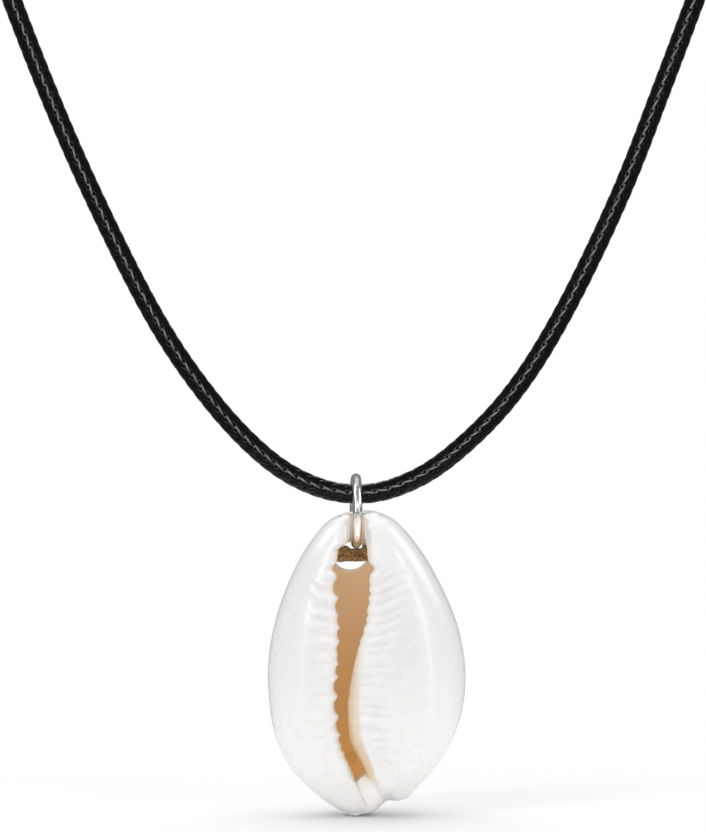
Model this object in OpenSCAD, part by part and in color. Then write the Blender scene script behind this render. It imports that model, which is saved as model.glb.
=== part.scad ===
// Cowrie shell necklace: a white cowrie on a steel jump ring on a black braided cord.
// Millimetres. X right, Y away from the viewer, Z up. The origin is the nape,
// at the middle of the clasp, and the loop keeps the form that it has when worn.

/* [Neck cord] */
// Diameter of the round braided cord
cord_d = 1.6; // [1.2:0.1:1.8]

/* [Clasp] */
// Length of the barrel clasp
clasp_l = 10; // [8:0.5:13]
// Diameter of the barrel clasp
clasp_d = 3.2; // [2.6:0.1:4.5]
// Depth of the blind socket that each cord end is glued into
socket_depth = 3; // [2:0.25:3.75]
// Gap round the cord in its socket
socket_gap = 0.05; // [0.02:0.01:0.1]
// Bevel round each end of the barrel
clasp_bevel = 0.4; // [0.2:0.05:0.6]

/* [Jump ring] */
// Outer diameter of the jump ring
ring_od = 6; // [5.8:0.1:7]
// Thickness of the ring's wire
wire_d = 0.8; // [0.6:0.05:0.9]
// Width of the split in the ring
ring_split = 0.12; // [0.05:0.01:0.3]
// Turn of the ring about the vertical, in degrees
ring_turn = 2.5; // [0:0.5:5]
// Gap between the ring and the cord that it hangs on
ring_gap = 0.05; // [0.03:0.01:0.15]

/* [Cowrie shell] */
// Length of the shell from tip to tip
shell_l = 24.4; // [22:0.2:28]
// Greatest width of the shell
shell_w = 15.8; // [14:0.2:18]
// Greatest thickness of the shell from its base to its back
shell_t = 12; // [11:0.2:14]
// Thickness of the shell's back wall
wall = 1; // [0.8:0.05:1.2]
// Thickness of the shell's left side, under its thick outer lip
left_wall = 2; // [1.4:0.1:2.4]
// Thickness of the shell's right side
right_wall = 1.3; // [1:0.1:1.7]
// Radius that the lips beside the slot are rolled to
lip_r = 0.8; // [0.6:0.05:0.9]
// Depth of the teeth along the left lip
tooth_depth = 0.35; // [0.1:0.05:0.5]
// Number of teeth along a lip
tooth_count = 13; // [9:1:17]
// Diameter of the hole drilled through the back
hole_d = 2.9; // [2.5:0.1:3]
// Gap between the cord and the shell's upper tip, which sets how far down the hole is drilled
tip_gap = 0.2; // [0.1:0.05:0.6]
// Distance that the hole lies to the left of the ring
hole_side = 0.2; // [0:0.05:0.3]
// Distance that the ring lies to the left of the shell's middle
hang_side = 0.8; // [0.4:0.1:1]
// Gap between the ring's wire and the rim of the hole
seat_gap = 0.13; // [0.1:0.01:0.2]
// Height of the rough bar that is left of the inner whorl across the hole
bar_h = 1; // [0.5:0.05:1.1]
// Gap between that bar and the ring's wire above it
bar_gap = 0.1; // [0.1:0.05:0.25]
// Lean of the hanging shell about its hole, in degrees
shell_lean = 5; // [0:0.5:7]

/* [Hidden] */
$fn = 64;

// Where the cord's loop is lowest
low = [0, -100, -118];
// The cord's route from beside its lowest point to the clasp, on its left and on its right
left_route = [
    [-3.7, -100, -117.2], [-7.4, -99.8, -114.9], [-11.6, -99.4, -110.5],
    [-16, -98.8, -104.1], [-20.9, -97.8, -94.5], [-25.1, -96.6, -84.9],
    [-29.9, -94.8, -72.5], [-35.4, -91.5, -58], [-41.9, -86, -41], [-48.5, -76.5, -24.5],
    [-53, -63, -11.5], [-54.2, -47, -4], [-51, -31.5, -1], [-42.5, -17.5, 0],
    [-31, -7.7, 0], [-19, -2, 0], [-11, -0.2, 0], [-6, 0, 0],
];
right_route = [
    [3.6, -100, -117.3], [7.4, -99.8, -115.1], [12.1, -99.4, -110.5],
    [16.3, -98.8, -104.1], [21, -97.8, -94.5], [24.8, -96.6, -84.9],
    [29.5, -94.8, -72.5], [35.2, -91.5, -58], [42, -86, -41], [48.6, -76.5, -24.5],
    [53, -63, -11.5], [54.2, -47, -4], [51, -31.5, -1], [42.5, -17.5, 0],
    [31, -7.7, 0], [19, -2, 0], [11, -0.2, 0], [6, 0, 0],
];
// How far a cut runs on past the face that it opens
cut_over = 1;
cord_end_x = clasp_l / 2 - socket_depth + socket_gap;
route = concat(
    [[-cord_end_x, 0, 0]], [for (i = [len(left_route) - 1:-1:0]) left_route[i]],
    [low], right_route, [[cord_end_x, 0, 0]]
);
cord_sides = 8;
// Longest step between the cord's cross-sections, in the bend that carries the ring and elsewhere
bend_step = 3;
cord_step = 9.5;
// The bend ends at this point of the route
bend_top = left_route[3][2];

// The smooth curve through four neighbouring values, at share t of the middle stretch
function curve(a, b, c, d, t) =
    b + t * ((c - a) / 2 + t * (a - 2.5 * b + 2 * c - d / 2 + t * ((d - a) / 2 + 1.5 * (b - c))));
function clamp_index(i, list) = max(0, min(len(list) - 1, i));
function route_at(i, t) = curve(
    route[clamp_index(i - 1, route)], route[i],
    route[clamp_index(i + 1, route)], route[clamp_index(i + 2, route)], t
);
function step_at(i) = min(route[i][2], route[i + 1][2]) < bend_top ? bend_step : cord_step;
function steps_in(i) = ceil(norm(route[i + 1] - route[i]) / step_at(i));
centres = concat(
    [for (i = [0:len(route) - 2], s = [0:steps_in(i) - 1]) route_at(i, s / steps_in(i))],
    [route[len(route) - 1]]
);
function unit(v) = v / norm(v);
function heading(i) = unit(
    centres[clamp_index(i + 1, centres)] - centres[clamp_index(i - 1, centres)]
);
// The cord never runs along this direction, so its cross-sections are squared to it
cord_side_ref = [0, -1, 1];
function cord_ring(i) =
    let (t = heading(i), u = unit(cross(t, cord_side_ref)), v = cross(t, u))
    [for (k = [0:cord_sides - 1])
        let (a = 360 * k / cord_sides)
        centres[i] + cord_d / 2 * (cos(a) * u + sin(a) * v)];
cord_points = [for (i = [0:len(centres) - 1]) each cord_ring(i)];
cord_faces = concat(
    [[for (k = [0:cord_sides - 1]) k]],
    [for (i = [0:len(centres) - 2], k = [0:cord_sides - 1])
        let (a = i * cord_sides + k, b = i * cord_sides + (k + 1) % cord_sides)
        each [[a, a + cord_sides, b], [b, a + cord_sides, b + cord_sides]]],
    [[for (k = [cord_sides - 1:-1:0]) (len(centres) - 1) * cord_sides + k]]
);

// The ring hangs on the cord's lowest point, and the shell on the ring's lowest point
wire_r = wire_d / 2;
ring_mid_r = ring_od / 2 - wire_r;
ring_centre = low + [0, 0, cord_d / 2 + ring_gap + wire_r - ring_mid_r];
ring_low = ring_centre - [0, 0, ring_mid_r];
// Where the split lies, as an angle from the ring's top towards its back
split_at = 50;

// Sections of the shell, from its lower tip to its upper tip.
// angle: 0 is the lower tip and 180 the upper tip, and the height follows its cosine.
// left, right, back, front: fullness of each side against an ellipse.
// mid: depth of the section's middle as a share of the half width.
// slot_l, slot_r: the slot's edges as shares of the half width.
// rise: how fast the section climbs over its right side.
shell_sections = [
    [0,   1.00, 2.30, 1.10, 1.20, -0.06,  0.01, 0.22, 0.40],
    [15,  0.86, 1.55, 1.05, 1.20, -0.05,  0.00, 0.22, 0.38],
    [30,  0.90, 1.10, 0.98, 1.15, -0.04, -0.04, 0.16, 0.24],
    [45,  1.02, 1.00, 1.00, 1.10, -0.03, -0.14, 0.00, 0.10],
    [60,  1.04, 1.01, 1.02, 1.05, -0.01, -0.27, -0.14, 0.03],
    [75,  1.01, 1.02, 1.02, 1.00, 0.00,  -0.32, -0.20, 0.00],
    [90,  0.99, 1.00, 1.00, 1.00, 0.00,  -0.30, -0.16, 0.00],
    [105, 0.96, 0.95, 0.95, 1.00, 0.00,  -0.29, -0.03, 0.00],
    [120, 0.92, 0.88, 0.84, 1.02, 0.00,  -0.32, 0.04, 0.00],
    [135, 0.91, 0.81, 0.70, 1.08, 0.00,  -0.32, 0.05, 0.00],
    [150, 0.92, 0.75, 0.66, 1.15, 0.01,  -0.20, 0.06, 0.02],
    [165, 1.08, 0.68, 0.90, 1.30, 0.04,  -0.17, 0.05, 0.06],
    [180, 1.50, 0.62, 1.20, 1.30, 0.05,  -0.18, 0.05, 0.08],
];
section_step = 15;
// The base takes this share of the thickness and the back the rest
base_share = 0.3;
// How square the outline of a section is, 2 being an ellipse
base_power = 2.5;
back_power = 2.1;
half_w = shell_w / 2;
base_t = shell_t * base_share;
back_t = shell_t - base_t;
// The loft ends short of the two tips, where the canals run out
first_angle = 13;
last_angle = 180 - first_angle;
axis_l = shell_l / cos(first_angle);
// The teeth start and end at these angles and are shallower over the last few degrees
tooth_from = 50;
tooth_to = 132;
tooth_fade = 8;
rows_a_tooth = 4;
// Turn of the teeth's wave that sets its rows on the flanks of each tooth
tooth_phase = 45;
// Near the tips the back wall is thinned to this share of the depth behind it
end_wall_share = 0.4;
end_rows = 10;
// The right lip's teeth are this share as deep as the left lip's
right_tooth = 0.4;
// A lip is rolled to at most this share of its side's width
lip_share = 0.42;
// The least width and depth of the hollow beside a lip
least_hollow = 0.1;

row_angles = concat(
    [for (i = [0:end_rows - 1]) first_angle + (tooth_from - first_angle) * i / end_rows],
    [for (i = [0:tooth_count * rows_a_tooth])
        tooth_from + (tooth_to - tooth_from) * i / (tooth_count * rows_a_tooth)],
    [for (i = [1:end_rows]) tooth_to + (last_angle - tooth_to) * i / end_rows]
);
function section_row(i) = shell_sections[clamp_index(i, shell_sections)];
function section(angle) =
    let (i = min(len(shell_sections) - 2, floor(angle / section_step)))
    curve(section_row(i - 1), section_row(i), section_row(i + 1), section_row(i + 2),
        angle / section_step - i);

// The distance from the middle of a rounded outline to its edge, at share u of its half width
function bulge(u, power) = pow(max(0, 1 - pow(min(1, abs(u)), power)), 1 / power);
function tooth(angle) = angle < tooth_from || angle > tooth_to ? 0
    : -cos(360 * tooth_count * (angle - tooth_from) / (tooth_to - tooth_from) + tooth_phase)
        * min(1, (angle - tooth_from) / tooth_fade, (tooth_to - angle) / tooth_fade) / 2;

// x to the right of the middle and nothing to its left, with a round change between
rise_round = 1;
function right_part(x) = (x + norm([x, rise_round])) / 2;

front_steps = 7;
back_steps = 12;
lip_steps = 6;
function front_y(x, left, right, depth) = -depth * bulge(x / (x < 0 ? left : right), base_power);
// Points of a half shell wall from the left lip round the back to the right lip
function wall_line(x_l, x_r, y_l, y_r, left, right, back, front) = concat(
    [for (i = [0:front_steps - 1])
        let (s = sin(90 * i / front_steps), x = x_l + (-left - x_l) * s)
        [x, front_y(x, left, right, front) + (y_l - front_y(x_l, left, right, front)) * (1 - s)]],
    [for (i = [0:back_steps])
        let (a = 180 * i / back_steps, c = -cos(a), side = c < 0 ? left : right)
        [side * sign(c) * pow(abs(c), 2 / back_power), back * pow(sin(a), 2 / back_power)]],
    [for (i = [front_steps - 1:-1:0])
        let (s = sin(90 * i / front_steps), x = x_r + (right - x_r) * s)
        [x, front_y(x, left, right, front) + (y_r - front_y(x_r, left, right, front)) * (1 - s)]]
);
// The closed outline of the shell's wall at one angle, as points in space
function shell_ring(angle) =
    let (
        s = section(angle),
        grow = sin(angle),
        left = half_w * grow * s[1],
        right = half_w * grow * s[2],
        back = back_t * grow * s[3],
        front = base_t * grow * s[4],
        mid = half_w * s[5],
        slot_l = half_w * s[6],
        slot_r = half_w * s[7],
        r_l = min(lip_r, (left + slot_l) * lip_share),
        r_r = min(lip_r, (right - slot_r) * lip_share),
        x_l = slot_l - r_l,
        x_r = slot_r + r_r,
        y_l = front_y(x_l, left, right, front),
        y_r = front_y(x_r, left, right, front),
        in_left = max(left - left_wall, least_hollow - x_l),
        in_right = max(right - right_wall, least_hollow + x_r),
        in_back = back - min(wall, back * end_wall_share),
        in_front = max(least_hollow, front - 2 * max(r_l, r_r)),
        tooth_x = tooth_depth * tooth(angle),
        outer = wall_line(x_l, x_r, y_l, y_r, left, right, back, front),
        inner = wall_line(x_l, x_r, y_l + 2 * r_l, y_r + 2 * r_r, in_left, in_right, in_back, in_front),
        lip_right = [for (i = [1:lip_steps - 1])
            let (a = 180 * i / lip_steps)
            [x_r - (r_r + right_tooth * tooth_x) * sin(a), y_r + r_r * (1 - cos(a))]],
        lip_left = [for (i = [lip_steps - 1:-1:1])
            let (a = 180 * i / lip_steps)
            [x_l + (r_l + tooth_x) * sin(a), y_l + r_l * (1 - cos(a))]],
        outline = concat(outer, lip_right, [for (i = [len(inner) - 1:-1:0]) inner[i]], lip_left),
        height = axis_l * (cos(first_angle) - cos(angle)) / 2
    )
    [for (p = outline) [p[0], p[1] + mid, height + s[8] * right_part(p[0])]];

wall_count = 2 * front_steps + back_steps + 1;
lip_count = lip_steps - 1;
ring_count = 2 * (wall_count + lip_count);
shell_points = [for (a = row_angles) each shell_ring(a)];
// The flat end of the wall is a band between its two lines, closed by a fan at each lip
inner_start = 2 * wall_count + lip_count - 1;
end_faces = concat(
    [for (i = [0:wall_count - 2])
        each [[i, i + 1, inner_start - i - 1], [i, inner_start - i - 1, inner_start - i]]],
    [for (i = [0:lip_count - 1]) [wall_count - 1, wall_count + i, wall_count + i + 1]],
    [for (i = [0:lip_count - 1]) [0, inner_start + i, inner_start + i + 1]]
);
last_row = (len(row_angles) - 1) * ring_count;
shell_faces = concat(
    [for (f = end_faces) [f[2], f[1], f[0]]],
    [for (i = [0:len(row_angles) - 2], j = [0:ring_count - 1])
        let (a = i * ring_count + j, b = i * ring_count + (j + 1) % ring_count)
        each [[a, b, b + ring_count], [a, b + ring_count, a + ring_count]]],
    [for (f = end_faces) [last_row + f[0], last_row + f[1], last_row + f[2]]]
);

// The drilled hole, and where the ring's wire lies in it
hole_r = hole_d / 2;
tip_to_wire = 2 * ring_mid_r - wire_r - ring_gap - cord_d - tip_gap;
wire_z = shell_l - tip_to_wire;
hole_z = wire_z - sqrt(pow(hole_r - wire_r - seat_gap, 2) - pow(hole_side, 2));
function angle_at(z) = acos(cos(first_angle) - 2 * z / axis_l);
// The shell's back on its outer face, at a distance from the middle and a height
function skin_y(x, z) =
    let (a = angle_at(z), s = section(a), side = half_w * sin(a) * (x < 0 ? s[1] : s[2]))
    back_t * sin(a) * s[3] * bulge(x / side, back_power) + half_w * s[5];
// Where the ring bears on the rim of the hole, as a share of the wall from its outer face
seat_share = 0.6;
seat_y = skin_y(0, hole_z + hole_r) - wall * seat_share;
// How far the bar runs on past the hole at each end, into the wall
bar_grip = 0.6;
bar_t = wall;
// How far the bar lies under the shell's outer face
bar_inset = 0.3;
hole_x = -hang_side - hole_side;
bar_x = [hole_x - hole_r - bar_grip, hole_x + hole_r + bar_grip];
bar_top = wire_z - wire_r - bar_gap;
// The bar's eight corners follow the slope of the back wall
bar_corners = [for (x = bar_x, z = [bar_top - bar_h, bar_top], in = [bar_inset + bar_t, bar_inset])
    [x, skin_y(x, z) - in, z]];
bar_faces = [[0, 1, 3, 2], [4, 6, 7, 5], [0, 4, 5, 1], [2, 3, 7, 6], [0, 2, 6, 4], [1, 5, 7, 3]];

module neck_cord() {
    color("#141414") polyhedron(cord_points, cord_faces);
}

module clasp() {
    socket_r = cord_d / 2 + socket_gap;
    socket_h = socket_depth + cut_over;
    color("#8c8f94") rotate([0, 90, 0]) difference() {
        rotate_extrude() polygon([
            [0, -clasp_l / 2], [clasp_d / 2 - clasp_bevel, -clasp_l / 2],
            [clasp_d / 2, clasp_bevel - clasp_l / 2], [clasp_d / 2, clasp_l / 2 - clasp_bevel],
            [clasp_d / 2 - clasp_bevel, clasp_l / 2], [0, clasp_l / 2],
        ]);
        for (end = [-1, 1])
            translate([0, 0, end * (clasp_l / 2 - socket_depth + socket_h / 2)])
                cylinder(h = socket_h, r = socket_r, center = true);
    }
}

module jump_ring() {
    split_angle = ring_split / ring_mid_r * 180 / PI;
    color("#c4c6c8") translate(ring_centre) rotate([0, 0, ring_turn]) rotate([0, -90, 0])
        rotate([0, 0, split_at]) rotate_extrude(angle = 360 - split_angle)
            translate([ring_mid_r, 0]) circle(r = wire_r);
}

// The shell standing on its lower tip, with its slot towards the viewer
module whole_shell() {
    difference() {
        polyhedron(shell_points, shell_faces);
        translate([hole_x, 0, hole_z]) rotate([-90, 0, 0]) cylinder(h = shell_t, r = hole_r);
    }
    hull() polyhedron(bar_corners, bar_faces);
}

module cowrie_shell() {
    color("#f4f1ea") translate(ring_low) rotate([shell_lean, 0, 0])
        translate([hang_side, -seat_y, -wire_z]) whole_shell();
}

neck_cord();
clasp();
jump_ring();
cowrie_shell();
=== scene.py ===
"""Looks of the cowrie shell necklace: braided cord, clasp, jump ring, shell and the studio.

Shapes are worked out in millimetres, and mesh_object turns them into metres. The front is
towards -Y.
"""

import math

import bmesh
import bpy
import numpy as np
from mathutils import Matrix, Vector


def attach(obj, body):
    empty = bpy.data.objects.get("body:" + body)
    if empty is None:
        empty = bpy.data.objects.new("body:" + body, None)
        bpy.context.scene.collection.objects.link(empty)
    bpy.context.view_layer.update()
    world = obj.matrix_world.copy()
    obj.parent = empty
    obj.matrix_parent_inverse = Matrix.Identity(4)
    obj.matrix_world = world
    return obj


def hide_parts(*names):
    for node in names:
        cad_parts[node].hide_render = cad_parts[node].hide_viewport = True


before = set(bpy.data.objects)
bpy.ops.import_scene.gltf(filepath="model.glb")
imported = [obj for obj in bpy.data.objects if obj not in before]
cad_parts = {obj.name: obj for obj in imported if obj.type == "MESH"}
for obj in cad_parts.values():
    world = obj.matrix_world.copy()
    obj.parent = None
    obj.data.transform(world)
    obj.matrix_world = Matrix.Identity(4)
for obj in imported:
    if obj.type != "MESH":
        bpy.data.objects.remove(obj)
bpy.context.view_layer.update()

MM = 0.001
LOW = (0, -100, -118)  # the cord's lowest point, where the pendant hangs

# Helpers for meshes


def mesh_object(name, points, faces, sharp_angle=None):
    """A smooth mesh object from points in millimetres, sharp over an angle in degrees."""
    mesh = bpy.data.meshes.new(name)
    faces = [list(map(int, f)) for f in faces]
    mesh.from_pydata([tuple(p) for p in np.asarray(points) * MM], [], faces)
    mesh.update()
    mesh.polygons.foreach_set("use_smooth", [True] * len(mesh.polygons))
    if sharp_angle:
        mesh.set_sharp_from_angle(angle=math.radians(sharp_angle))
    obj = bpy.data.objects.new(name, mesh)
    bpy.context.scene.collection.objects.link(obj)
    return obj


def mesh_points(mesh):
    """A mesh's points in millimetres."""
    co = np.empty(len(mesh.vertices) * 3, np.float32)
    mesh.vertices.foreach_get("co", co)
    return co.reshape(-1, 3) / MM


def float_attribute(obj, name, values):
    attribute = obj.data.attributes.new(name, "FLOAT", "POINT")
    attribute.data.foreach_set("value", np.asarray(values, dtype=np.float32))


def grid_faces(rows, columns):
    """Quads over rows of points, where each row closes on itself."""
    r, c = np.meshgrid(np.arange(rows - 1), np.arange(columns), indexing="ij")
    c2 = (c + 1) % columns
    low, high = r * columns, (r + 1) * columns
    return np.stack([low + c, low + c2, high + c2, high + c], -1).reshape(-1, 4)


def tube_faces(rows, sides, start=0):
    """The quads of a tube, with one face over each of its ends."""
    faces = (grid_faces(rows, sides) + start).tolist()
    last = start + (rows - 1) * sides
    faces.append([start + j for j in range(sides)])
    faces.append([last + j for j in reversed(range(sides))])
    return faces


def circle(sides):
    """The angles of a circle's points."""
    return np.arange(sides) * 2 * np.pi / sides


def turn_outward(mesh, merge=False):
    """Turn all faces outward. With merge, points that meet are joined first."""
    bm = bmesh.new()
    bm.from_mesh(mesh)
    if merge:
        bmesh.ops.remove_doubles(bm, verts=bm.verts, dist=0.000002)
        bmesh.ops.dissolve_degenerate(bm, edges=bm.edges, dist=0.0000005)
    bmesh.ops.recalc_face_normals(bm, faces=bm.faces)
    bm.to_mesh(mesh)
    bm.free()


def spline(a, b, c, d, t):
    """A point between b and c on the smooth curve through a, b, c and d."""
    return b + t * (
        (c - a) / 2 + t * (a - 2.5 * b + 2 * c - d / 2 + t * ((d - a) / 2 + 1.5 * (b - c)))
    )


def smoothstep(low, high, x):
    t = np.clip((x - low) / (high - low), 0, 1)
    return t * t * (3 - 2 * t)


# Helpers for materials


class Nodes:
    """A short way to build one material's nodes."""

    def __init__(self, name):
        self.material = bpy.data.materials.new(name)
        self.material.use_nodes = True
        self.tree = self.material.node_tree
        self.tree.nodes.clear()
        out = self.tree.nodes.new("ShaderNodeOutputMaterial")
        self.bsdf = self.tree.nodes.new("ShaderNodeBsdfPrincipled")
        self.feed(out.inputs["Surface"], self.bsdf.outputs[0])

    def node(self, kind, inputs=None, **settings):
        made = self.tree.nodes.new("ShaderNode" + kind)
        for key, value in settings.items():
            setattr(made, key, value)
        for key, value in (inputs or {}).items():
            self.feed(made.inputs[key], value)
        return made

    def feed(self, socket, value):
        """Link a socket to an output, or set its value. Colours are given without alpha."""
        if isinstance(value, bpy.types.NodeSocket):
            self.tree.links.new(value, socket)
        elif socket.type == "RGBA":
            socket.default_value = (*value, 1)
        else:
            socket.default_value = value

    def set(self, **values):
        for key, value in values.items():
            self.feed(self.bsdf.inputs[key.replace("_", " ")], value)

    def coords(self):
        return self.node("TexCoord").outputs["Object"]

    def attribute(self, name):
        return self.node("Attribute", attribute_name=name).outputs["Fac"]

    def noise(self, vector, scale, detail=3.0, roughness=0.5):
        inputs = {"Vector": vector, "Scale": scale, "Detail": detail, "Roughness": roughness}
        return self.node("TexNoise", inputs).outputs["Fac"]

    def remap(self, value, low, high, to_low=0.0, to_high=1.0):
        """A smooth step from one value to another while the input goes from low to high."""
        inputs = {"Value": value, "From Min": low, "From Max": high}
        inputs |= {"To Min": to_low, "To Max": to_high}
        return self.node("MapRange", inputs, interpolation_type="SMOOTHSTEP").outputs["Result"]

    def mix(self, factor, a, b):
        made = self.node("Mix", data_type="RGBA")
        # the colour sockets of this node go by number, because its names repeat
        for socket, value in ((0, factor), (6, a), (7, b)):
            self.feed(made.inputs[socket], value)
        return made.outputs[2]

    def times(self, a, b):
        made = self.node("Math", operation="MULTIPLY")
        self.feed(made.inputs[0], a)
        self.feed(made.inputs[1], b)
        return made.outputs[0]

    def bump(self, height, strength, distance):
        inputs = {"Height": height, "Strength": strength, "Distance": distance}
        return self.node("Bump", inputs).outputs["Normal"]


def dress(obj, material, body, slot, *nodes):
    """Give a piece its material and its body, and hide the CAD nodes that it stands for. The slot
    is not used.
    """
    obj.data.materials.clear()
    obj.data.materials.append(material)
    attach(obj, body)
    if nodes:
        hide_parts(*nodes)


# Camera

PICTURE_W, PICTURE_H = 706, 832
LOW_PIXEL = (356, 494)  # where the cord's lowest point lies in the picture
PIXEL = 0.08  # millimetres to a pixel where the pendant hangs
ELEVATION = 3.5  # the camera's height above level, in degrees
CAMERA_AWAY = 0.9  # metres
SENSOR = 36


def make_camera():
    tilt = math.radians(ELEVATION)
    look = Vector((0, math.cos(tilt), -math.sin(tilt)))
    up = Vector((0, math.sin(tilt), math.cos(tilt)))
    right_px, up_px = PICTURE_W / 2 - LOW_PIXEL[0], LOW_PIXEL[1] - PICTURE_H / 2
    aim = Vector([c * MM for c in LOW]) + Vector((right_px, 0, 0)) * PIXEL * MM
    aim += up * (up_px * PIXEL * MM)
    data = bpy.data.cameras.new("camera")
    data.sensor_width = SENSOR
    data.lens = SENSOR * CAMERA_AWAY / (PICTURE_H * PIXEL * MM)
    data.clip_start, data.clip_end = 0.01, 20
    camera = bpy.data.objects.new("camera", data)
    camera.location = aim - look * CAMERA_AWAY
    camera.rotation_mode = "QUATERNION"
    camera.rotation_quaternion = look.to_track_quat("-Z", "Y")
    bpy.context.scene.collection.objects.link(camera)
    bpy.context.scene.camera = camera


make_camera()

# Cord: a braid of flattened yarns round a core, along the same route as the CAD cord

CORD_R = 0.8
CLASP_L, CLASP_R, SOCKET = 10.0, 1.6, 3.0
LEFT_ROUTE = [
    (-3.7, -100, -117.2), (-7.4, -99.8, -114.9), (-11.6, -99.4, -110.5),
    (-16, -98.8, -104.1), (-20.9, -97.8, -94.5), (-25.1, -96.6, -84.9),
    (-29.9, -94.8, -72.5), (-35.4, -91.5, -58), (-41.9, -86, -41), (-48.5, -76.5, -24.5),
    (-53, -63, -11.5), (-54.2, -47, -4), (-51, -31.5, -1), (-42.5, -17.5, 0),
    (-31, -7.7, 0), (-19, -2, 0), (-11, -0.2, 0), (-6, 0, 0),
]
RIGHT_ROUTE = [
    (3.6, -100, -117.3), (7.4, -99.8, -115.1), (12.1, -99.4, -110.5),
    (16.3, -98.8, -104.1), (21, -97.8, -94.5), (24.8, -96.6, -84.9),
    (29.5, -94.8, -72.5), (35.2, -91.5, -58), (42, -86, -41), (48.6, -76.5, -24.5),
    (53, -63, -11.5), (54.2, -47, -4), (51, -31.5, -1), (42.5, -17.5, 0),
    (31, -7.7, 0), (19, -2, 0), (11, -0.2, 0), (6, 0, 0),
]
ROUTE_STEP = 0.3  # between the points of the finished curve
PITCH = 8.7  # the braid's lay: one full turn of a yarn
YARNS = 8  # yarns laid each way, two over and two under
YARN_R = 0.75  # the radius that the yarns' edges lie on
WAVE = 0.018  # how far a yarn rises and dips as it crosses the others
CROWN = 0.028  # how far a yarn's middle stands over its edges
HALF_ANGLE = 0.4  # half a yarn's width, as an angle round the cord
# A yarn's section: shares of its half width and of its crown. The last point lies in the core.
YARN_PROFILE = [
    (-1, 0), (-0.66, 0.6), (-0.22, 0.96), (0.22, 0.96), (0.66, 0.6), (1, 0), (0, -2.2),
]
CORE_SIDES, CORE_R, CORE_STEP = 12, 0.735, 6  # the core takes every sixth point of the curve


def smooth_curve(points, samples):
    """A curve through the points, and the distance along it."""
    p = np.asarray(points, float)
    p = np.vstack([p[:1], p, p[-1:]])
    t = np.linspace(0, 1, samples, endpoint=False)[:, None]
    parts = [spline(a, b, c, d, t) for a, b, c, d in zip(p[:-3], p[1:-2], p[2:-1], p[3:])]
    out = np.vstack(parts + [p[-1:]])
    along = np.concatenate([[0], np.cumsum(np.linalg.norm(np.diff(out, axis=0), axis=1))])
    return out, along


def even_steps(points, along, step):
    count = int(round(along[-1] / step))
    s = np.linspace(0, along[-1], count + 1)
    return np.stack([np.interp(s, along, points[:, k]) for k in range(3)], -1), s


def untwisted_frames(centres):
    """Two directions across the curve at each point, carried along without twist."""
    t = np.gradient(centres, axis=0)
    t /= np.linalg.norm(t, axis=1)[:, None]
    u = np.zeros_like(t)
    first = np.cross(t[0], [0, 0, 1.0])
    u[0] = first / np.linalg.norm(first)
    for i in range(1, len(t)):
        v = u[i - 1] - t[i] * np.dot(u[i - 1], t[i])
        u[i] = v / np.linalg.norm(v)
    return u, np.cross(t, u)


cord_end = CLASP_L / 2 - SOCKET + 0.05  # just short of the floor of the clasp's socket
route = [(-cord_end, 0, 0)] + LEFT_ROUTE[::-1] + [LOW] + RIGHT_ROUTE + [(cord_end, 0, 0)]
centres, along = smooth_curve(route, 60)
centres, along = even_steps(centres, along, ROUTE_STEP)
side_u, side_v = untwisted_frames(centres)


def over(n):
    """1 where a yarn lies over the others and -1 where it lies under them."""
    c = np.cos(2 * np.pi * (n - 0.5) / 4)
    return np.tanh(1.6 * c) / np.tanh(1.6)


def yarn_set(direction):
    """All yarns laid one way, each a closed flattened tube, with each point's place on its yarn."""
    crossings = 2 * YARNS * along / PITCH
    rows, sides = len(along), len(YARN_PROFILE)
    points, faces = [], []
    for k in range(YARNS):
        phase = crossings + 2 * k if direction > 0 else 2 * k - crossings
        lift = over(phase) if direction > 0 else -over(phase)
        width = HALF_ANGLE * (0.9 + 0.1 * lift)
        turn = direction * 2 * np.pi * along / PITCH + 2 * np.pi * k / YARNS
        tube = []
        for x, h in YARN_PROFILE:
            angle = turn + width * x
            r = YARN_R + WAVE * lift + CROWN * h
            out = np.cos(angle)[:, None] * side_u + np.sin(angle)[:, None] * side_v
            tube.append(centres + r[:, None] * out)
        points.append(np.stack(tube, 1).reshape(-1, 3))
        faces += tube_faces(rows, sides, k * sides * rows)
    across = np.tile([x * 0.5 + 0.5 for x, _ in YARN_PROFILE], rows * YARNS)
    lengthwise = np.tile(np.repeat(along, sides), YARNS)
    return np.vstack(points), faces, across, lengthwise


def cord_core():
    """The round core that closes the gaps between the yarns."""
    a = circle(CORE_SIDES)[None, :, None]
    u, v = side_u[::CORE_STEP, None], side_v[::CORE_STEP, None]
    points = centres[::CORE_STEP, None] + CORE_R * (np.cos(a) * u + np.sin(a) * v)
    faces = tube_faces(len(points), CORE_SIDES)
    return mesh_object("cord_core", points.reshape(-1, 3), faces)


def wax_material():
    """Black waxed yarn, with fine fibres along it and dull spots of wear."""
    m = Nodes("waxed_braid")
    across, length = m.attribute("across"), m.attribute("lengthwise")
    lines = m.node("CombineXYZ", {"X": m.times(across, 9.0), "Y": m.times(length, 0.35)})
    fibre = m.noise(lines.outputs[0], 1.6, 2.0, 0.6)
    wear = m.noise(m.coords(), 900.0, 3.0, 0.6)
    black, worn = (0.0008, 0.0008, 0.0009), (0.0022, 0.0022, 0.0024)
    m.set(
        Base_Color=m.mix(m.remap(wear, 0.35, 0.75), black, worn),
        Roughness=m.remap(wear, 0.3, 0.7, 0.2, 0.3),
        Specular_IOR_Level=0.25,
        Normal=m.bump(fibre, 0.15, 0.00002),
    )
    return m.material


def core_material():
    m = Nodes("cord_core")
    grain = m.noise(m.coords(), 1200.0)
    m.set(Base_Color=m.mix(grain, (0.003, 0.003, 0.003), (0.006, 0.006, 0.006)), Roughness=0.75)
    return m.material


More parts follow.
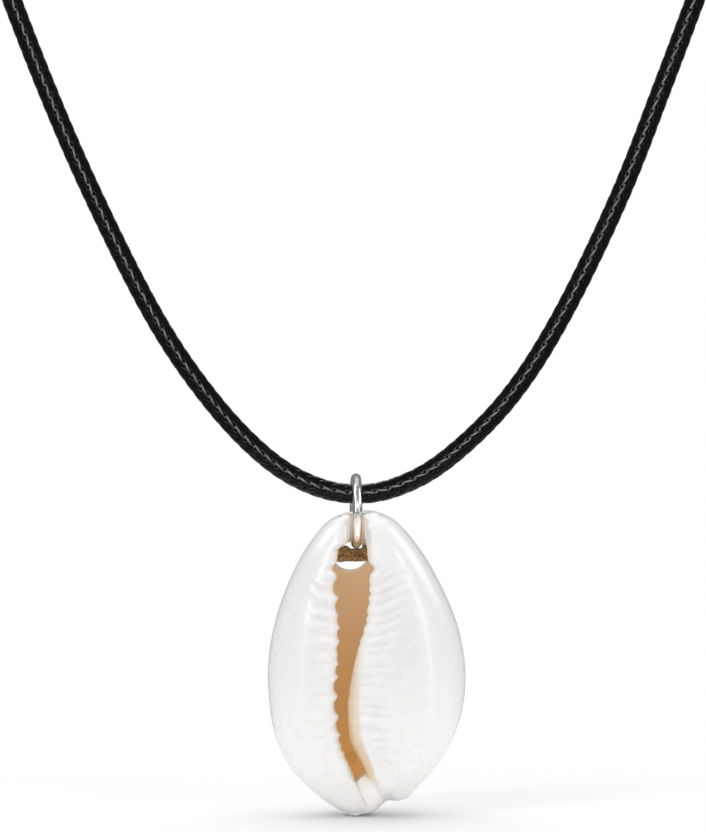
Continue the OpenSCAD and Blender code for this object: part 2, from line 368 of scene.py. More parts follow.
wax = wax_material()
cord_pieces = []
for name, direction in (("cord_yarns_left", -1), ("cord_yarns_right", 1)):
    points, faces, across, lengthwise = yarn_set(direction)
    yarns = mesh_object(name, points, faces)
    float_attribute(yarns, "across", across)
    float_attribute(yarns, "lengthwise", lengthwise)
    dress(yarns, wax, "necklace", "cord", "neck_cord")
    cord_pieces.append(yarns)

core = cord_core()
dress(core, core_material(), "necklace", "cord", "neck_cord")
cord_pieces.append(core)

# Clasp

CLASP_EDGE = 0.4  # the radius of the barrel's rounded ends
GROOVES, GROOVE_DEEP = (1.5, 1.9), 0.07  # the grooves' distances from each end


def lathe(profile, sides):
    """A closed body turned about X from (x, radius) pairs whose first and last radius is 0."""
    a = circle(sides)
    inner = profile[1:-1]
    points = [(profile[0][0], 0, 0)]
    for x, r in inner:
        points += [(x, r * math.cos(b), r * math.sin(b)) for b in a]
    points.append((profile[-1][0], 0, 0))
    faces = (grid_faces(len(inner), sides) + 1).tolist()
    last = 1 + (len(inner) - 1) * sides
    for j in range(sides):
        k = (j + 1) % sides
        faces.append([0, 1 + k, 1 + j])
        faces.append([len(points) - 1, last + j, last + k])
    return np.array(points), faces


def clasp_profile():
    """The barrel's outline from one socket's floor, round its mouth and along, to the other's."""
    socket_r = CORD_R + 0.05
    mouth = -CLASP_L / 2
    floor_x = mouth + SOCKET
    half = [(floor_x, 0), (floor_x, socket_r - 0.1), (floor_x - 0.1, socket_r)]
    half += [(mouth + 0.15, socket_r), (mouth + 0.03, socket_r + 0.04), (mouth, socket_r + 0.15)]
    for i in range(7):
        a = math.pi / 2 * i / 6
        x = mouth + CLASP_EDGE - CLASP_EDGE * math.cos(a)
        half.append((x, CLASP_R - CLASP_EDGE + CLASP_EDGE * math.sin(a)))
    for x in GROOVES:
        half += [(mouth + x, CLASP_R), (mouth + x + 0.05, CLASP_R - GROOVE_DEEP)]
        half += [(mouth + x + 0.15, CLASP_R - GROOVE_DEEP), (mouth + x + 0.2, CLASP_R)]
    # one more groove in the middle
    half += [(-0.12, CLASP_R), (-0.06, CLASP_R - 0.1)]
    return half + [(-x, r) for x, r in reversed(half)]


def steel_material(name, base, rough, brushed):
    """Bare steel. A brushed value over 1 draws its fine streaks together along X."""
    m = Nodes(name)
    where = m.coords()
    streaks = m.node("Mapping", {"Vector": where, "Scale": (brushed, 1, 1)}).outputs["Vector"]
    smear = m.noise(streaks, 900.0, 4.0, 0.6)
    cloud = m.noise(where, 350.0, 2.0)
    m.set(
        Base_Color=m.mix(cloud, base, tuple(c * 0.9 for c in base)),
        Metallic=1.0,
        Roughness=m.remap(smear, 0.25, 0.75, rough * 0.75, rough * 1.35),
        Normal=m.bump(smear, 0.08, 0.00002),
    )
    return m.material


points, faces = lathe(clasp_profile(), 64)
clasp = mesh_object("clasp_barrel", points, faces, 40)
clasp_steel = steel_material("turned_steel", (0.55, 0.56, 0.58), 0.24, 8)
dress(clasp, clasp_steel, "necklace", "clasp_metal", "clasp")

# Jump ring

RING_MID, WIRE_R = 2.6, 0.4  # the radius of the wire's middle line, and the wire's own
RING_CLEAR = 0.05  # between the cord and the wire that hangs on it
RING_TURN = 2.5  # degrees about the upright axis
SPLIT_AT, SPLIT = 50, 0.12  # the split's place from the ring's top, in degrees, and its width
# Softened wire ends: degrees from the end, and the wire's share of its thickness there
WIRE_END = [(0.0, 0.0), (0.028, 0.75), (0.126, 0.93), (0.35, 1.0)]
ring_centre = np.array([0, -100, LOW[2] + CORD_R + RING_CLEAR + WIRE_R - RING_MID])
ring_low = ring_centre - [0, 0, RING_MID]


def jump_ring():
    """The wire, swept from one side of its split round to the other, with softened ends."""
    sides = 28
    whole = 360 - math.degrees(SPLIT / RING_MID)
    stops = WIRE_END + [(d, 1.0) for d in np.linspace(2.2, whole - 2.2, 150)]
    stops += [(whole - d, r) for d, r in reversed(WIRE_END)]
    b = circle(sides)
    rows = []
    for degrees, share in stops:
        # the ring's angle runs from its top towards its back
        a = math.radians(degrees + SPLIT_AT)
        r = RING_MID + WIRE_R * share * np.cos(b)
        rows.append(np.stack([-WIRE_R * share * np.sin(b), r * math.sin(a), r * math.cos(a)], -1))
    return np.vstack(rows), grid_faces(len(rows), sides)


points, faces = jump_ring()
turn = math.radians(RING_TURN)
spin = np.array(
    [[math.cos(turn), -math.sin(turn), 0], [math.sin(turn), math.cos(turn), 0], [0, 0, 1]]
)
ring = mesh_object("ring_wire", points @ spin.T + ring_centre, faces, 60)
ring_steel = steel_material("polished_steel", (0.74, 0.74, 0.75), 0.2, 1)
dress(ring, ring_steel, "ring", "ring_steel", "jump_ring")

# Shell, in its own frame: X to the right, Y to the back and Z up from the lower tip

SHELL_L, SHELL_W, SHELL_T = 24.4, 15.8, 12.0
HALF_W, BASE_T, BACK_T = SHELL_W / 2, SHELL_T * 0.3, SHELL_T * 0.7
BASE_POWER, BACK_POWER = 2.5, 2.1  # how full the base and the back are, 2 being an ellipse
FIRST, LAST = 13.0, 167.0  # the angles of the sections nearest the two tips
AXIS_L = SHELL_L / math.cos(math.radians(FIRST))
WALL, LEFT_WALL, RIGHT_WALL, LIP_R = 1.0, 2.0, 1.3, 0.8
HANG_SIDE = 0.8  # the ring hangs this far left of the shell's middle
HOLE_SIDE, HOLE_R = 0.2, 1.45  # the hole lies this much further left
SEAT_GAP, TIP_GAP = 0.13, 0.2  # between the wire and the hole, and the cord and the upper tip
LEAN = 5.0  # degrees that the shell's lower tip hangs back
wire_z = SHELL_L - (2 * RING_MID - WIRE_R - RING_CLEAR - 2 * CORD_R - TIP_GAP)
hole_x = -HANG_SIDE - HOLE_SIDE
hole_z = wire_z - math.sqrt((HOLE_R - WIRE_R - SEAT_GAP) ** 2 - HOLE_SIDE ** 2)

SECTION_STEP = 15  # degrees from one row to the next, from the lower tip to the upper one
SECTIONS = np.array([
    # shares of the half width to the left and right, of the back and the base,
    # the middle's shift in half widths, and how much the right side stands higher
    (1.00, 2.30, 1.10, 1.20, -0.06, 0.40),
    (0.86, 1.55, 1.05, 1.20, -0.05, 0.38),
    (0.90, 1.10, 0.98, 1.15, -0.04, 0.24),
    (1.02, 1.00, 1.00, 1.10, -0.03, 0.10),
    (1.04, 1.01, 1.02, 1.05, -0.01, 0.03),
    (1.01, 1.02, 1.02, 1.00, 0.00, 0.00),
    (0.99, 1.00, 1.00, 1.00, 0.00, 0.00),
    (0.955, 0.95, 0.95, 1.00, 0.00, 0.00),
    (0.92, 0.875, 0.84, 1.02, 0.00, 0.00),
    (0.905, 0.815, 0.70, 1.08, 0.00, 0.00),
    (0.92, 0.745, 0.66, 1.15, 0.01, 0.02),
    (1.08, 0.68, 0.90, 1.30, 0.04, 0.06),
    (1.50, 0.62, 1.20, 1.30, 0.05, 0.08),
])
# The opening: heights above the lower tip and widths from the shell's middle
SLOT = np.array([
    # height, left edge, right edge, left roll, right roll
    (0.0, 0.2, 1.6, 0.4, 0.5), (0.6, 0.1, 1.5, 0.5, 0.5), (1.5, -0.35, 1.25, 0.6, 0.6),
    (2.4, -0.6, 0.75, 0.7, 0.75), (2.9, -0.83, 0.22, 0.75, 0.85), (3.3, -0.94, -0.11, 0.8, 0.95),
    (4.0, -1.19, -0.27, 0.8, 1.0), (4.8, -1.54, -0.6, 0.8, 1.1), (5.6, -1.9, -0.96, 0.8, 1.15),
    (6.5, -2.1, -1.34, 0.8, 1.2), (8.0, -2.27, -1.44, 0.8, 1.2), (9.5, -2.38, -1.48, 0.8, 1.15),
    (11.0, -2.37, -1.26, 0.8, 1.05), (12.5, -2.3, -0.97, 0.8, 0.9), (14.0, -2.23, -0.6, 0.8, 0.8),
    (16.0, -2.21, 0.02, 0.8, 0.7), (18.2, -2.34, 0.28, 0.8, 0.7), (19.2, -2.34, 0.26, 0.8, 0.65),
    (19.75, -2.35, 0.3, 0.75, 0.5), (20.1, -2.65, 0.6, 0.6, 0.4), (20.3, -2.65, 0.6, 0.6, 0.4),
    (20.65, -2.32, 0.25, 0.6, 0.5), (21.0, -2.27, 0.12, 0.6, 0.6), (21.65, -2.2, 0.08, 0.6, 0.6),
    (21.95, -1.85, 0.03, 0.65, 0.7), (22.2, -1.45, -0.02, 0.8, 0.85),
    (22.6, -1.33, -0.08, 0.95, 0.95), (23.2, -1.32, -0.12, 0.95, 1.0),
    (24.4, -1.3, -0.15, 0.95, 1.0),
])
# The gaps between the left lip's teeth: height, depth and half height
GAPS = [
    (5.1, 0.14, 0.28), (5.75, 0.18, 0.3), (6.4, 0.22, 0.34), (7.55, 0.3, 0.55),
    (9.15, 0.34, 0.62), (10.8, 0.34, 0.6), (12.1, 0.24, 0.42), (13.1, 0.16, 0.36),
    (13.8, 0.24, 0.4), (15.0, 0.22, 0.42), (16.1, 0.22, 0.42), (17.15, 0.32, 0.55),
    (18.65, 0.45, 0.62),
]
TOOTH = 0.12  # how far the teeth stand out between their gaps
# The folds beside the lips: from and to a height, their count, and how far they fan out
LEFT_FOLDS = (4.2, 19.5, 13.5, 0.9)
RIGHT_FOLDS = (3.4, 19.8, 20.5, 1.1)
LOW_FOLDS = (3.6, 10.5, 6.0, -0.9)
LEFT_DEEP, RIGHT_DEEP, LOW_DEEP = 0.08, 0.125, 0.14
LIP_SHARE = 0.42  # the most of the wall's width that half a lip's thickness may take
ROLL_SHARE = 0.75  # the same for a lip's roll
INNER_GAP = 0.1  # the least that the inner line reaches past the lips
END_H = 0.3  # how far the wall's round edge reaches at each tip
END_SHARE = 0.42  # the same reach, at most this share of half the wall
END_FROM = 1.2  # the sections draw together over this height to leave room for it
END_START, END_ANGLES = 45, (54, 63, 72, 81, 90)  # the round edge's rows, in degrees
# Sections from one angle to the next and their number, closest where the teeth are
SECTION_RUNS = [(FIRST, 36, 34), (36, 45, 48), (45, 146, 208)]
LAST_RUN = (146, LAST, 30)
FLOOR_Z = 3.3  # the lower canal's floor ends here and the hollow begins

# One outline's points in order: outer line, right lip, inner line, left lip
FRONT_STEPS, BACK_STEPS, LIP_STEPS = 32, 44, 12
WALL_COUNT = 2 * FRONT_STEPS + BACK_STEPS + 1
LIP_COUNT = LIP_STEPS - 1
RING_COUNT = 2 * (WALL_COUNT + LIP_COUNT)
OUTER = slice(0, WALL_COUNT)
RIGHT_LIP = slice(OUTER.stop, OUTER.stop + LIP_COUNT)
INNER = slice(RIGHT_LIP.stop, RIGHT_LIP.stop + WALL_COUNT)
LEFT_LIP = slice(INNER.stop, RING_COUNT)


def section(angle):
    """The section's shares at one angle, on a smooth curve through the table's rows."""
    i = min(len(SECTIONS) - 2, int(angle // SECTION_STEP))
    a, b, c, d = (SECTIONS[max(0, min(len(SECTIONS) - 1, k))] for k in range(i - 1, i + 3))
    return spline(a, b, c, d, angle / SECTION_STEP - i)


def bulge(u, power):
    return np.maximum(0, 1 - np.minimum(1, np.abs(u)) ** power) ** (1 / power)


def height_of(angle):
    return AXIS_L * (math.cos(math.radians(FIRST)) - np.cos(np.radians(angle))) / 2


def angle_at(z):
    return math.degrees(math.acos(math.cos(math.radians(FIRST)) - 2 * z / AXIS_L))


def skin_y(x, z):
    """The shell's back on its outer face, at a distance from the middle and a height."""
    angle = angle_at(z)
    left, right, back, _, mid, _ = section(angle)
    grow = math.sin(math.radians(angle))
    side = HALF_W * grow * (left if x < 0 else right)
    return BACK_T * grow * back * float(bulge(x / side, BACK_POWER)) + HALF_W * mid


def lips(z):
    """The opening's edges and the lips' rolls at a height."""
    return (float(np.interp(z, SLOT[:, 0], SLOT[:, k])) for k in range(1, 5))


def gap_wave(z):
    """How far the round gaps between the teeth bite into the left lip at a height."""
    total = 0.0
    for at, depth, half in GAPS:
        near = max(0.0, 1 - abs((z - at) / (1.2 * half)) ** 3)
        total = max(total, 0.85 * depth * near ** 1.5)
    return total


def wall_line(x_l, x_r, y_l, y_r, left, right, back, front):
    """Points along the shell's wall from the left lip round the back to the right lip."""
    t = np.sin(np.pi / 2 * np.arange(FRONT_STEPS) / FRONT_STEPS)

    def base_y(x):
        return -front * bulge(x / np.where(x < 0, left, right), BASE_POWER)

    def base_line(x_lip, y_lip, x_side):
        x = x_lip + (x_side - x_lip) * t
        return x, base_y(x) + (y_lip - base_y(np.array([x_lip]))) * (1 - t)

    base_l, base_r = base_line(x_l, y_l, -left), base_line(x_r, y_r, right)
    a = np.pi * np.arange(BACK_STEPS + 1) / BACK_STEPS
    c = -np.cos(a)
    back_x = np.where(c < 0, left, right) * np.sign(c) * np.abs(c) ** (2 / BACK_POWER)
    back_y = back * np.sin(a) ** (2 / BACK_POWER)
    return (
        np.concatenate([base_l[0], back_x, base_r[0][::-1]]),
        np.concatenate([base_l[1], back_y, base_r[1][::-1]]),
    )


def ridges(z, away, low, high, count, spread):
    """Folds that fan out from a lip: a wave of the height that turns with the distance away."""
    fan = (z - (low + high) / 2) / (high - low) * spread
    at = z - fan * away
    phase = (at - low) / (high - low) * count
    wave = np.cos(2 * np.pi * (phase + 0.12 * np.sin(2.3 * phase + 1.0)))
    return wave * smoothstep(low, low + 1.2, at) * (1 - smoothstep(high - 1.2, high, at))


def hump(x, peak, width):
    """1 at the peak, fading out on both sides of it."""
    return np.exp(-((x - peak) / width) ** 2)


def fold_relief(z, x, x_l, x_r):
    """How far the folds beside the two lips stand out of the outer line."""
    k = np.arange(WALL_COUNT)
    away_l, away_r = np.maximum(0, x_l - x), np.maximum(0, x - x_r)
    fold_l = ridges(z, away_l, *LEFT_FOLDS) * hump(away_l, 0.3, 0.7)
    fold_r = ridges(z, away_r, *RIGHT_FOLDS) * hump(away_r, 0.7, 1.2)
    low_r = ridges(z, away_r, *LOW_FOLDS) * hump(away_r, 0.9, 1.25)
    fold_r = fold_r * (0.75 + 0.25 * math.sin(4.1 * z + 1))
    left, right = LEFT_DEEP * fold_l, RIGHT_DEEP * fold_r + LOW_DEEP * low_r
    return np.where(k < FRONT_STEPS, left, 0) + np.where(k > FRONT_STEPS + BACK_STEPS, right, 0)


def tip_rise(x, z, share):
    """How much higher the points lie to the right, with the step beside the lower canal."""
    rise = share * (x + np.sqrt(x * x + 1)) / 2
    step = 1.18 * smoothstep(0.3, 1.95, x) - 0.22 * smoothstep(1.9, 2.5, x)
    step = step + 0.35 * smoothstep(3.1, 4.2, x)
    return rise + (step - rise) * float(1 - smoothstep(0.2, 2.2, z))


def shell_ring(angle):
    """The closed outline of the shell's wall at one angle, with what its colours need."""
    share_l, share_r, share_back, share_base, shift, rise = section(angle)
    grow = math.sin(math.radians(angle))
    z = float(height_of(angle))
    left, right = HALF_W * grow * share_l, HALF_W * grow * share_r
    back, front = BACK_T * grow * share_back, BASE_T * grow * share_base
    slot_l, slot_r, roll_l, roll_r = lips(z)
    # the lower canal has a floor a little way behind its lips, less deep towards the tip
    shut = float(1 - smoothstep(FLOOR_Z - 0.4, FLOOR_Z + 0.1, z))
    shallow = 0.05 + 0.13 * float(smoothstep(0.3, 2.4, z))
    r_l = min(LIP_R, (left + slot_l) * LIP_SHARE)
    r_r = min(LIP_R, (right - slot_r) * LIP_SHARE)
    r_l, r_r = r_l + (min(r_l, shallow) - r_l) * shut, r_r + (min(r_r, 0.2) - r_r) * shut
    roll_l = min(roll_l, (left + slot_l) * ROLL_SHARE)
    roll_r = min(roll_r, (right - slot_r) * ROLL_SHARE)
    x_l, x_r = slot_l - roll_l, slot_r + roll_r
    y_l, y_r = (
        -front * float(bulge(x / (left if x < 0 else right), BASE_POWER)) for x in (x_l, x_r)
    )
    back_l, back_r = y_l + 2 * r_l, y_r + 2 * r_r

    ox, oy = wall_line(x_l, x_r, y_l, y_r, left, right, back, front)
    in_left = max(left - LEFT_WALL, INNER_GAP - x_l)
    in_right = max(right - RIGHT_WALL, INNER_GAP + x_r)
    in_back = back - min(WALL, back * 0.4)
    in_front = max(INNER_GAP, front - 2 * max(r_l, r_r))
    ix, iy = wall_line(x_l, x_r, back_l, back_r, in_left, in_right, in_back, in_front)
    if shut > 0:
        floor_l, floor_r = INNER_GAP - x_l, INNER_GAP + x_r
        fx, fy = wall_line(x_l, x_r, 0.0, 0.0, floor_l, floor_r, INNER_GAP, 0.01)
        fy = fy + np.interp(fx, [x_l, x_r], [back_l, back_r])
        ix, iy = ix + (fx - ix) * shut, iy + (fy - iy) * shut
    oy = oy - fold_relief(z, ox, x_l, x_r)

    # both lips, the left one with its teeth and the right one with a crease along its inner fold
    a = np.pi * np.arange(1, LIP_STEPS) / LIP_STEPS
    toothed = smoothstep(4.4, 5.4, z) * (1 - smoothstep(18.8, 19.6, z))
    tooth = TOOTH * float(toothed) - gap_wave(z)
    wave_r = float(ridges(z, 0.0, *RIGHT_FOLDS)) * (0.2 + 0.8 * float(smoothstep(12.5, 15.5, z)))
    crease = hump(z, 3.7, 1.0) * 0.14
    lip_r_x = x_r - (roll_r + 0.05 * wave_r) * np.sin(a)
    lip_r_y = y_r + r_r * (1 - np.cos(a)) + crease * hump(a, 0.35, 0.2)
    b = a[::-1]
    lip_l_x = x_l + (roll_l + tooth) * np.sin(b)
    lip_l_y = y_l + r_l * (1 - np.cos(b))

    x = np.concatenate([ox, lip_r_x, ix[::-1], lip_l_x])
    y = np.concatenate([oy, lip_r_y, iy[::-1], lip_l_y]) + HALF_W * shift
    # inside: 0 on the outer face, rising to 1 round each lip
    inside = np.concatenate([np.zeros(WALL_COUNT), a / np.pi, np.ones(WALL_COUNT), b / np.pi])
    off_tips = smoothstep(0, 0.15, z) * (1 - smoothstep(SHELL_L - 0.5, SHELL_L - 0.05, z))
    inside = inside * float(off_tips)
    # side: 1 on the right lip and the right half of the inner line
    side = np.zeros(RING_COUNT)
    side[RIGHT_LIP] = 1
    side[INNER] = ix[::-1] > (x_l + x_r) / 2
    # stain: a line along the right lip's crease
    stain = np.zeros(RING_COUNT)
    stain[RIGHT_LIP] = hump(a, 0.3, 0.16) * math.exp(-((z - 4.5) / 2.1) ** 4)

    low_room, high_room = max(0, 1 - z / END_FROM), max(0, 1 - (SHELL_L - z) / END_FROM)
    height = z + END_H * (low_room ** 2 - high_room ** 2)
    # the canal's floor ends higher on its right
    slant = np.clip((x - slot_l) / (slot_r - slot_l), 0, 1) * inside
    slant = slant * 0.8 * float(smoothstep(1.2, 2.6, z) * (1 - smoothstep(3.2, 5.4, z)))
    height = height + tip_rise(x, z, rise) + slant
    return np.stack([x, y, height], -1), inside, side, np.full(RING_COUNT, z), stain


def rounded_end(ring, direction):
    """Rows that close the wall at a tip with a round edge."""
    # each point's partner on the other side of the wall
    partner = np.concatenate([ring[part][::-1] for part in (INNER, RIGHT_LIP, OUTER, LEFT_LIP)])
    middle = (ring + partner) / 2
    half = np.linalg.norm(ring - partner, axis=1)[:, None] / 2
    start = math.radians(END_START)
    tall = np.minimum(half * END_SHARE, END_H) / (1 - math.sin(start))
    rows = []
    for degrees in END_ANGLES:
        a = math.radians(degrees)
        row = middle + (ring - middle) * math.cos(a) / math.cos(start)
        row[:, 2:] += direction * tall * (math.sin(a) - math.sin(start))
        rows.append(row)
    return rows


def build_shell():
    """The shell's points and faces, and its attributes: inside, side, lift and stain."""
    angles = [np.linspace(*run, endpoint=False) for run in SECTION_RUNS] + [np.linspace(*LAST_RUN)]
    made = [shell_ring(angle) for angle in np.concatenate(angles)]
    rings, *values = (list(part) for part in zip(*made))
    rows = rounded_end(rings[0], -1)[::-1] + rings + rounded_end(rings[-1], 1)
    # the rows of the round edges take the values of the section beside them
    extra = len(END_ANGLES)
    values = [np.concatenate(v[:1] * extra + v + v[-1:] * extra) for v in values]
    faces = grid_faces(len(rows), RING_COUNT)[:, ::-1]
    return np.vstack(rows), faces, dict(zip(("inside", "side", "lift", "stain"), values))


seat_y = skin_y(0, hole_z + HOLE_R) - WALL * 0.6  # where the wire lies in the back wall
lean = math.radians(LEAN)
LEAN_M = np.array(
    [[1, 0, 0], [0, math.cos(lean), -math.sin(lean)], [0, math.sin(lean), math.cos(lean)]]
)


def hang(points):
    """From the shell's own frame to where it hangs on the ring."""
    return (np.asarray(points) + [HANG_SIDE, -seat_y, -wire_z]) @ LEAN_M.T + ring_low


def drill(circles, low_y, high_y, sides=160):
    """A cutter from front to back, round circles (x, z, radius) that join the first one."""
    outline = []
    x0, z0 = circles[0][:2]
    for k in range(sides):
        a = 2 * math.pi * k / sides
        reach = 0
        for x, z, r in circles:
            along = (x - x0) * math.cos(a) + (z - z0) * math.sin(a)
            off = (x - x0) ** 2 + (z - z0) ** 2 - along * along
            if off < r * r:
                reach = max(reach, along + math.sqrt(r * r - off))
        outline.append((x0 + reach * math.cos(a), z0 + reach * math.sin(a)))
    points = [(x, y, z) for y in (low_y, high_y) for x, z in outline]
    obj = mesh_object("drill", points, tube_faces(2, sides))
    turn_outward(obj.data)
    return obj


# the hole is worn wide at its lower left, and to a notch where the ring hangs
RIM = (hole_x - 0.24, hole_z - 0.33, HOLE_R - 0.1)
NOTCH = (-HANG_SIDE, wire_z, WIRE_R + 0.08)


def cut_hole(obj):
    """Drill the hole through the back wall, and give its edge the hollow's colour and its painted
    glow.
    """
    cutter = drill([RIM, NOTCH], 0.3, 9)
    cut = obj.modifiers.new("hole", "BOOLEAN")
    cut.operation = "DIFFERENCE"
    cut.solver = "MANIFOLD"
    cut.object = cutter
    bpy.context.view_layer.objects.active = obj
    with bpy.context.temp_override(object=obj, active_object=obj, selected_objects=[obj]):
        bpy.ops.object.modifier_apply(modifier=cut.name)
    bpy.data.objects.remove(cutter)
    co = mesh_points(obj.data)
    edge = np.abs(np.hypot(co[:, 0] - RIM[0], co[:, 2] - RIM[1]) - RIM[2]) < 0.02
    # the edge takes the hollow's tan and its painted glow
    for name, value in (("inside", 0.9), ("lift", 20.0)):
        values = np.empty(len(co), np.float32)
        attribute = obj.data.attributes[name]
        attribute.data.foreach_get("value", values)
        values[edge & (co[:, 1] > 0)] = value
        attribute.data.foreach_set("value", values)


points, faces, attributes = build_shell()
shell = mesh_object("shell_body", points, faces)
for name, values in attributes.items():
    float_attribute(shell, name, values)
turn_outward(shell.data, merge=True)
cut_hole(shell)
hung = hang(mesh_points(shell.data)) * MM
shell.data.vertices.foreach_set("co", hung.astype(np.float32).reshape(-1))
shell.data.polygons.foreach_set("use_smooth", [True] * len(shell.data.polygons))
shell.data.set_sharp_from_angle(angle=math.radians(75))
shell.data.update()


def hollow_colour(m, lift, fine, low_end):
    """Tan, paler towards the upper end and patchy, and brown at the lower end."""
    tan = m.mix(m.remap(lift, 9.0, 20.5), (0.73, 0.505, 0.25), (0.875, 0.78, 0.65))
    tan = m.mix(m.remap(lift, 6.5, 3.5), tan, (0.82, 0.54, 0.20))
    tan = m.mix(low_end, tan, (0.50, 0.28, 0.08))
    patchy = m.times(m.remap(fine, 0.35, 0.75, 0, 0.25), m.remap(lift, 4.0, 6.0))
    return m.mix(patchy, tan, (0.62, 0.42, 0.22))


def outer_colour(m, where, inside, side, lift):
    """White, greyer towards the lower tip as painted shade, with cream and grey painted shade round
    the upper canal, tan along the right lip's fold with cream that is partly painted shade, and
    pale canals.
    """
    cloud = m.noise(where, 160.0, 3.0, 0.5)
    white = m.mix(m.remap(cloud, 0.3, 0.7), (0.95, 0.945, 0.93), (0.957, 0.953, 0.942))
    # painted shade: the white turns greyer towards the lower tip
    white = m.mix(m.remap(lift, 9.0, 1.0, 0.0, 0.5), white, (0.87, 0.855, 0.84))
    # painted shade round the upper canal: cream on the lips as they turn into the groove, grey
    # towards the upper tip
    above = m.remap(lift, 21.6, 22.6)
    canal_painted_shade = m.times(m.remap(inside, -0.02, 0.34), m.remap(lift, 19.5, 22.4, 0.0, 0.8))
    colour = m.mix(canal_painted_shade, white, m.mix(above, (0.82, 0.68, 0.51), (0.64, 0.60, 0.555)))
    # the right lip's inner fold turns from white to cream and then to the hollow's tan: partly the
    # lip's own colour, partly painted shade where the lip turns inward
    deep = m.remap(lift, 9.0, 5.0)
    right_low = m.times(side, m.remap(lift, 15.5, 9.0))
    right_low = m.times(right_low, m.remap(lift, 2.5, 3.3))
    fold_tint_and_shade = m.times(m.remap(inside, -0.05, 0.13), right_low)
    colour = m.mix(fold_tint_and_shade, colour, m.mix(deep, (0.84, 0.77, 0.66), (0.80, 0.66, 0.51)))
    fold_tint_and_shade = m.times(m.remap(inside, 0.09, 0.36), right_low)
    colour = m.mix(fold_tint_and_shade, colour, m.mix(deep, (0.80, 0.59, 0.38), (0.66, 0.42, 0.19)))
    pale = m.times(m.remap(lift, 2.0, 2.9, 0.15, 0.6), m.remap(lift, 21.0, 22.5, 1.0, 0.9))
    canal = m.times(m.remap(inside, 0.3, 0.8), pale)
    colour = m.mix(canal, colour, m.mix(above, (0.88, 0.78, 0.66), (0.93, 0.87, 0.80)))
    return m.mix(m.times(m.attribute("stain"), 0.5), colour, (0.76, 0.52, 0.40))


def shell_material():
    """Glossy bleached shell. Its lift is the height above the lower tip, in millimetres."""
    m = Nodes("cowrie")
    where = m.coords()
    inside, side, lift = m.attribute("inside"), m.attribute("side"), m.attribute("lift")
    fine = m.noise(where, 900.0, 3.0, 0.55)
    low_end = m.remap(lift, 4.6, 3.6)
    # the hollow is tan between the two canals, whose floors stay pale
    reach = m.times(m.remap(lift, 3.0, 3.15), m.remap(lift, 21.6, 20.9))
    edge = m.times(m.remap(inside, 0.5, 0.7), reach)
    outer = outer_colour(m, where, inside, side, lift)
    tan = hollow_colour(m, lift, fine, low_end)
    # painted glow: emission standing in for light that comes through the thin wall into the hollow,
    # and painted light in the two canals
    painted_glow = m.mix(m.remap(lift, 4.0, 18.0), (0.515, 0.36, 0.145), (0.47, 0.39, 0.275))
    painted_glow = m.mix(low_end, painted_glow, (0.87, 0.50, 0.17))
    # painted light: emission that brightens the shaded floors and walls of the upper and lower
    # canals
    high_canal = m.times(m.remap(inside, 0.22, 0.6), m.remap(lift, 21.2, 22.8))
    painted_canal_glow = m.mix(high_canal, (0, 0, 0), (0.60, 0.56, 0.51))
    low_canal = m.times(m.remap(inside, 0.3, 0.7), m.remap(lift, 2.95, 2.4))
    painted_canal_glow = m.mix(low_canal, painted_canal_glow, (0.24, 0.20, 0.17))
    m.set(Base_Color=m.mix(edge, outer, tan))
    m.set(Emission_Color=m.mix(edge, painted_canal_glow, painted_glow), Emission_Strength=0.28)
    m.set(Roughness=m.remap(fine, 0.3, 0.7, 0.22, 0.31), Specular_IOR_Level=0.5)
    m.set(Subsurface_Weight=0.25, Subsurface_Radius=(0.0012, 0.001, 0.0008), Subsurface_Scale=1.0)
    m.set(Coat_Weight=0.3, Coat_Roughness=0.1)
    m.set(Normal=m.bump(m.noise(where, 260.0, 2.0), 0.015, 0.0001))
    return m.material


dress(shell, shell_material(), "shell", "shell", "cowrie_shell")

# What is left of the inner whorl: a broken, porous bar across the hole

BAR_W = 2 * HOLE_R + 1.2
BAR_LOW, BAR_HIGH = wire_z - 1.62, wire_z - 0.14
BAR_SIDES, BAR_ROWS = 48, 100
CREST = 0.22  # the top's dark crest reaches this far down


def bar_top(x):
    """The bar's top: notched where the ring's wire lies over it, and rounded off at both ends."""
    past_wire = max(0, abs(x + HANG_SIDE) - 0.42)
    notch = wire_z - WIRE_R - 0.06 + 0.9 * past_wire
    if x > -HANG_SIDE:
        notch += 0.8 * past_wire
    top = min(BAR_HIGH + 0.05 * math.sin(4.2 * x) + (0.05 if x > -HANG_SIDE else 0), notch)
    left_end, right_end = min(1, max(0, (-1.68 - x) / 0.5)), min(1, max(0, (x + 0.3) / 0.4))
    return top - (0.16 * left_end ** 1.5 + 0.16 * right_end ** 1.5)


def broken(u, c, t):
    """The uneven surface, from the place along the bar and the direction round it."""
    rough = 0.05 * math.sin(7.1 * u + 3 * c) + 0.04 * math.sin(13.7 * u + 5 * t + 1)
    rough += 0.03 * math.sin(23.0 * u + 9 * c + 4 * t) + 0.02 * math.sin(41.0 * u + 13 * c)
    return rough


def squared(c):
    """Half of a circle's sine or cosine, drawn out towards a rounded square."""
    return math.copysign(abs(c) ** 0.6, c) * 0.5


